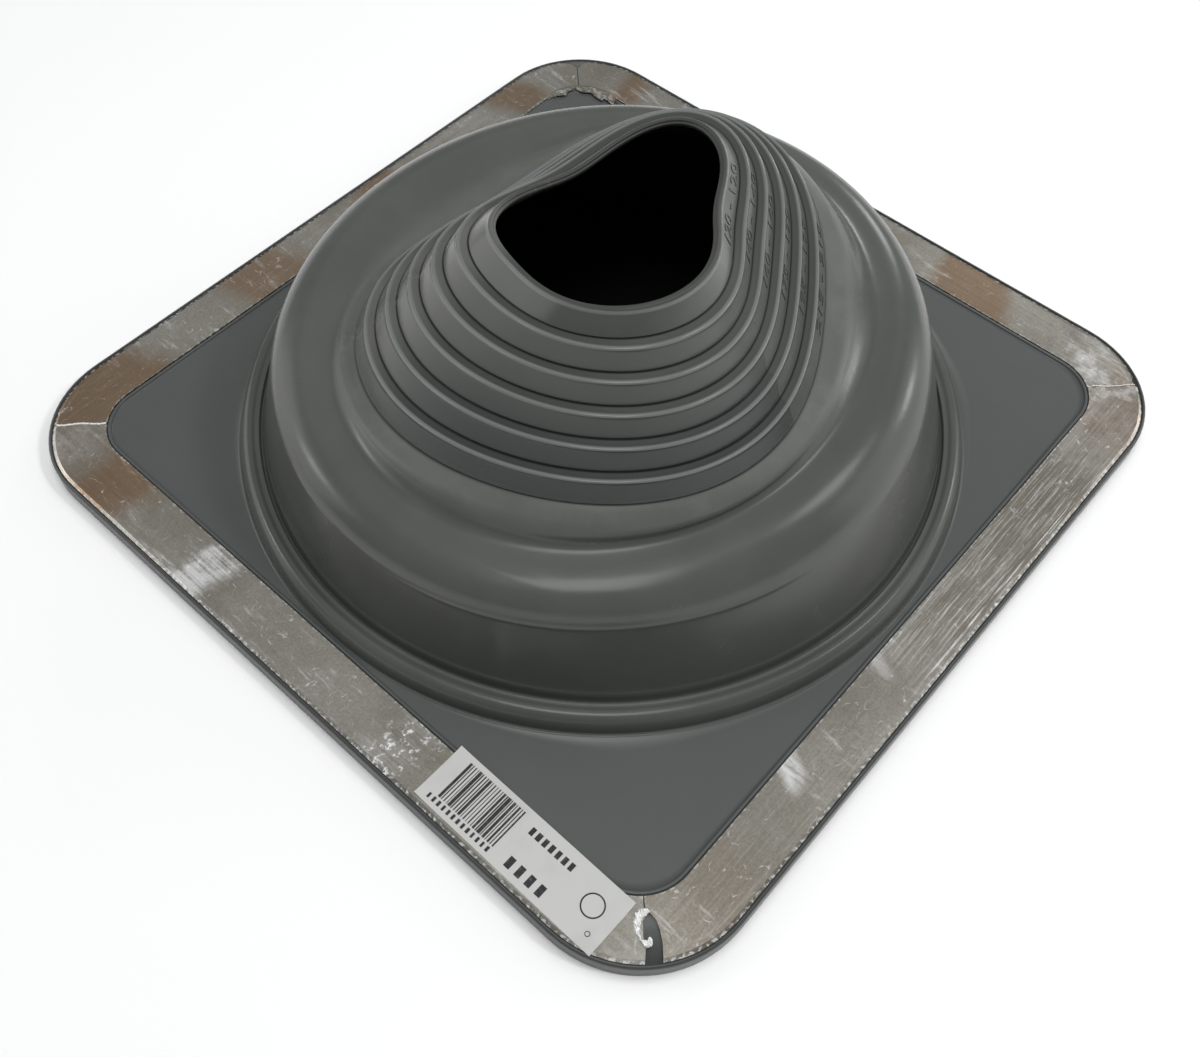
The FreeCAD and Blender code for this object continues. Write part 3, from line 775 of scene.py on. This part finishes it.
# rows of bars or blocks: where the first one's middle is along and across the label, count, pitch,
# widest, thinnest share, length, seed
print_rows = ((6.9, 11.7, 12, 2.15, 1.3, 0.22, 15.0, 4),
              (7.97, 11.7, 11, 2.15, 0.5, 0.5, 15.0, 9),
              (4.2, 2.6, 13, 2.15, 1.15, 0.7, 1.9, 2),
              (36.6, 16.1, 7, 2.75, 1.8, 0.75, 2.7, 5),
              (38.2, 4.3, 4, 4.3, 2.3, 0.8, 3.9, 3))
print_points, print_faces, shift = [], [], 0
for along, across, count, pitch_size, widest, thinnest, long, seed in print_rows:
    carrier = bpy.data.objects.new("print_row", bpy.data.meshes.new("print_row"))
    bpy.context.scene.collection.objects.link(carrier)
    modifier = carrier.modifiers.new("print_row", "NODES")
    modifier.node_group = row_tree
    for label, value in (("Count", count), ("Pitch", pitch_size), ("Width", widest), ("Thinnest", thinnest),
                         ("Length", long), ("Thickness", ink_thick), ("Seed", seed), ("Ink", ink.material)):
        modifier[row_inputs[label].identifier] = value
    depsgraph = bpy.context.evaluated_depsgraph_get()
    mesh = bpy.data.meshes.new_from_object(carrier.evaluated_get(depsgraph))
    bpy.data.objects.remove(carrier)
    flat = np.array([v.co for v in mesh.vertices])
    height = paper_thick + flat[:, 2] + ink_gap
    print_points.append(on_label(along + flat[:, 0], across + flat[:, 1], height))
    print_faces += [tuple(v + shift for v in p.vertices) for p in mesh.polygons]
    shift += len(flat)
# a plain ring and a small one below it: middle along and across the label, outer and inner radius
print_rings, ring_points = ((65.8, 11.8, 4.0, 3.5), (70.2, 4.5, 0.9, 0.65)), 32
for along, across, outside, inside in print_rings:
    turn = np.tile(np.linspace(0, 2 * np.pi, ring_points, endpoint=False), 4)
    reach = np.repeat([outside, inside, inside, outside], ring_points)
    height = paper_thick + np.repeat([ink_thick, ink_thick, 0.0, 0.0], ring_points)
    print_points.append(on_label(along + reach * np.cos(turn), across + reach * np.sin(turn), height))
    for side in range(4):
        here, after = shift + side * ring_points, shift + (side + 1) % 4 * ring_points
        for k in range(ring_points):
            beside = (k + 1) % ring_points
            print_faces.append((here + k, here + beside, after + beside, after + k))
    shift += 4 * ring_points
label_print = piece("label_print", np.concatenate(print_points), print_faces, ink)
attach(label_print, "root")

# The aluminium is torn at the near corner, where a crumpled curl of it stands up. The curl is a
# round bar of foil along a bent line, with a thickness that changes by chance.
near_corner, left_corner, far_corner, right_corner = [math.radians(v) for v in (-45, -135, 135, 45)]
foil = Finish("crumpled_foil")
foil_noise = foil.noise(foil.place(), 700.0, 4.0, 0.7)
dull_foil, bright_foil = (0.70, 0.69, 0.66), (0.95, 0.95, 0.95)
foil.set(Base_Color=foil.mix(foil.step(foil_noise, 0.3, 0.55), dull_foil, bright_foil),
         Metallic=0.35, Roughness=0.2 + foil_noise * 0.2, Normal=foil.bump(foil_noise, 0.0006, 0.9))


def corner_point(reach, side, z, turn):
    """Point by its reach from the centre along a corner's diagonal, and its place beside that line."""
    c, s = math.cos(turn), math.sin(turn)
    return (reach * c - side * s, reach * s + side * c, z)


# reach along the diagonal and place beside it
curl_line = ((194.2, 1.3), (194.4, -0.4), (196.2, -2.2), (198.8, -2.9),
             (201.6, -2.6), (204.0, -1.4), (203.9, 0.6), (202.4, 1.3))
curl_rings, curl_sides = 46, 12
curl_width, curl_slant, curl_height, curl_rise = 1.1, 0.7, 0.75, 0.25
curl_swell, curl_chance = 1.15, 0.4
chance = np.random.default_rng(7)
line_places = np.linspace(0, len(curl_line) - 1, curl_rings)
curl = [np.interp(line_places, range(len(curl_line)), [p[k] for p in curl_line]) for k in range(2)]
curl_points = []
for k, (reach, side) in enumerate(zip(*curl)):
    taper = math.sin(math.pi * (k + 1.5) / (curl_rings + 2)) ** 0.4
    for turn in np.linspace(0, 2 * np.pi, curl_sides, endpoint=False):
        swell = taper * (curl_swell + curl_chance * chance.uniform(-1, 1))
        outward = curl_width * swell * math.cos(turn)
        z = edging_high + curl_rise + curl_height * swell * math.sin(turn)
        curl_points.append(corner_point(reach + outward, side + outward * curl_slant, z, near_corner))
curl_faces = []
for ring in range(curl_rings - 1):
    here, after = ring * curl_sides, (ring + 1) * curl_sides
    for k in range(curl_sides):
        beside = (k + 1) % curl_sides
        curl_faces.append((here + k, here + beside, after + beside, after + k))
last_ring = (curl_rings - 1) * curl_sides
curl_faces += [tuple(range(curl_sides - 1, -1, -1)), tuple(range(last_ring, last_ring + curl_sides))]
torn_curl = piece("torn_curl", curl_points, curl_faces, foil)
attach(torn_curl, "root")

# At the left and right corners one strip laps over the other, and its cut end shows as a thin
# uneven line, bright on the left and in the strip's own colour on the right.
lap_rings, lap_start, lap_length, lap_sink = 31, 190.0, 18.6, 0.02
lap_section = ((-0.45, 0.0), (0.0, 0.28), (0.4, 0.2), (0.5, 0.0))
lap_ends = (("left", left_corner, foil), ("right", right_corner, strip_finish["edging_back"]))
for corner, turn, finish in lap_ends:
    lap_points = []
    for share in np.linspace(0, 1, lap_rings):
        beside = 0.25 * math.sin(9 * share) + 0.12 * chance.uniform(-1, 1)
        for side, z in lap_section:
            reach, height = lap_start + lap_length * share, edging_high + z - lap_sink
            lap_points.append(corner_point(reach, beside + side, height, turn))
    lap_faces = []
    for ring in range(lap_rings - 1):
        here, after = ring * 4, (ring + 1) * 4
        for k in range(4):
            beside = (k + 1) % 4
            lap_faces.append((here + k, after + k, after + beside, here + beside))
    last_ring = (lap_rings - 1) * 4
    lap_faces += [(0, 1, 2, 3), tuple(range(last_ring + 3, last_ring - 1, -1))]
    lapped_end = piece("lapped_end_" + corner, lap_points, lap_faces, finish)
    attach(lapped_end, "root")

# At the far corner a ragged end of foil runs out over the rubber lip. It is a thin sheet between
# the strips' inner edge and a torn line, which is given by place beside the diagonal and reach.
ragged_line = ((27.8, 168.9), (15.7, 181.3), (10.3, 183.7), (6.3, 184.2), (5.6, 186.2), (2.0, 188.6),
               (-1.6, 185.9), (-5.6, 185.3), (-7.8, 181.9), (-10.4, 179.4), (-11.3, 181.4), (-15.2, 175.7),
               (-17.0, 181.5))
flap_over, flap_least, flap_rise, flap_thick = 1.6, 0.4, 0.04, 0.18
flap_cells = 5
flap_sides = np.linspace(28.0, -17.0, 91)
count = len(flap_sides)
inner_reach = np.interp(-flap_sides, [-p[0] for p in ragged_line], [p[1] for p in ragged_line])
inner_reach = inner_reach + 0.25 * chance.uniform(-1, 1, count)
inner_corner = edging_corner - edging_width
round_reach = (half_edging - edging_corner) * math.sqrt(2)
round_reach = round_reach + np.sqrt(np.maximum(inner_corner ** 2 - flap_sides ** 2, 0))
straight_reach = (half_edging - edging_width) * math.sqrt(2) - np.abs(flap_sides)
on_round = np.abs(flap_sides) < inner_corner * math.sqrt(0.5)
outer_reach = np.where(on_round, round_reach, straight_reach) + flap_over
inner_reach = np.minimum(inner_reach, outer_reach - flap_least)
flap_points = []
for thickness in (0.0, flap_thick):
    for share in np.linspace(0, 1, flap_cells + 1):
        inward = 1 - share
        for side, inner, outer in zip(flap_sides, inner_reach, outer_reach):
            wave = 0.06 * math.sin(side * 1.7) * inward + 0.18 * inward ** 3
            z = edging_high + flap_rise + wave + thickness * min(1, 4 * inward + 0.3)
            flap_points.append(corner_point(inner + (outer - inner) * share, side, z, far_corner))
flap_faces = []
sheet = (flap_cells + 1) * count
for i in range(flap_cells):
    for j in range(count - 1):
        k = i * count + j
        flap_faces += [(k, k + count, k + count + 1, k + 1),
                       (sheet + k, sheet + k + 1, sheet + k + count + 1, sheet + k + count)]
loop = list(range(count)) + [i * count + count - 1 for i in range(1, flap_cells + 1)]
loop += [flap_cells * count + j for j in range(count - 2, -1, -1)]
loop += [i * count for i in range(flap_cells - 1, 0, -1)]
flap_faces += [(here, after, sheet + after, sheet + here) for here, after in zip(loop, loop[1:] + loop[:1])]
ragged_flap = piece("ragged_flap", flap_points, flap_faces, strip_finish["edging_back"])
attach(ragged_flap, "root")

# The floor is plain and pale. Its middle, which only the mouth of the boot looks down on, is in
# shade, so that the mouth is black.
floor_half, shade_radius = 3000.0, 130.0
floor_finish = Finish("pale_floor")
east, north, _ = floor_finish.axes(floor_finish.place())
off_middle = (east * east + north * north) ** 0.5
in_light = floor_finish.step(off_middle, shade_radius * MM, (shade_radius + 2) * MM)
shade, floor_white = (0.004, 0.004, 0.004), (0.95, 0.95, 0.95)
floor_finish.set(Base_Color=floor_finish.mix(in_light, shade, floor_white), Roughness=0.8)
floor_corners = [(x * floor_half, y * floor_half, 0) for x, y in ((-1, -1), (1, -1), (1, 1), (-1, 1))]
floor = piece("floor", floor_corners, [(0, 1, 2, 3)], floor_finish)

# Studio light: a dim pale room and soft panels. The flat aluminium mirrors one part of the sky
# towards the camera. The large sky panel fills that part, and the brighter lamps keep out of it
# or don't show in reflections.
world = bpy.data.worlds.new("room")
world.use_nodes = True
room = world.node_tree.nodes["Background"]
room.inputs["Color"].default_value = (0.97, 0.985, 1.0, 1.0)
room.inputs["Strength"].default_value = 0.22
bpy.context.scene.world = world
bpy.context.scene.view_settings.view_transform = "Standard"


def soft_panel(name, turn, height, distance, size, power, mirrored=True):
    """Square light panel that faces the boot, by its direction round it and above it in degrees."""
    light = bpy.data.lights.new(name, "AREA")
    light.size, light.energy = size, power
    turn, height = math.radians(turn), math.radians(height)
    way = Vector((math.cos(turn) * math.cos(height), math.sin(turn) * math.cos(height), math.sin(height)))
    panel = bpy.data.objects.new(name, light)
    panel.location = way * distance
    panel.rotation_euler = way.to_track_quat("Z", "Y").to_euler()
    panel.visible_camera, panel.visible_glossy = False, mirrored
    bpy.context.scene.collection.objects.link(panel)


soft_panel("ceiling_panel", 150, 88, 1.5, 0.6, 6.0, mirrored=False)
soft_panel("key_lamp", 22, 50, 1.7, 0.2, 6.5, mirrored=False)
soft_panel("sky_panel", 130, 60, 2.0, 2.4, 4.4)
soft_panel("crest_lamp", -55, 74, 1.6, 0.7, 5.5)
soft_panel("right_lamp", 50, 56, 1.6, 0.35, 2.0)
soft_panel("left_wall", 207, 16, 2.0, 1.6, 8.5)
soft_panel("right_wall", 50, 16, 2.0, 1.6, 6.0)
soft_panel("left_glint", 214, 30, 1.6, 0.25, 1.0)
soft_panel("right_glint", 60, 20, 1.6, 0.22, 1.2)
soft_panel("back_glint", 98, 24, 1.6, 0.25, 1.6)
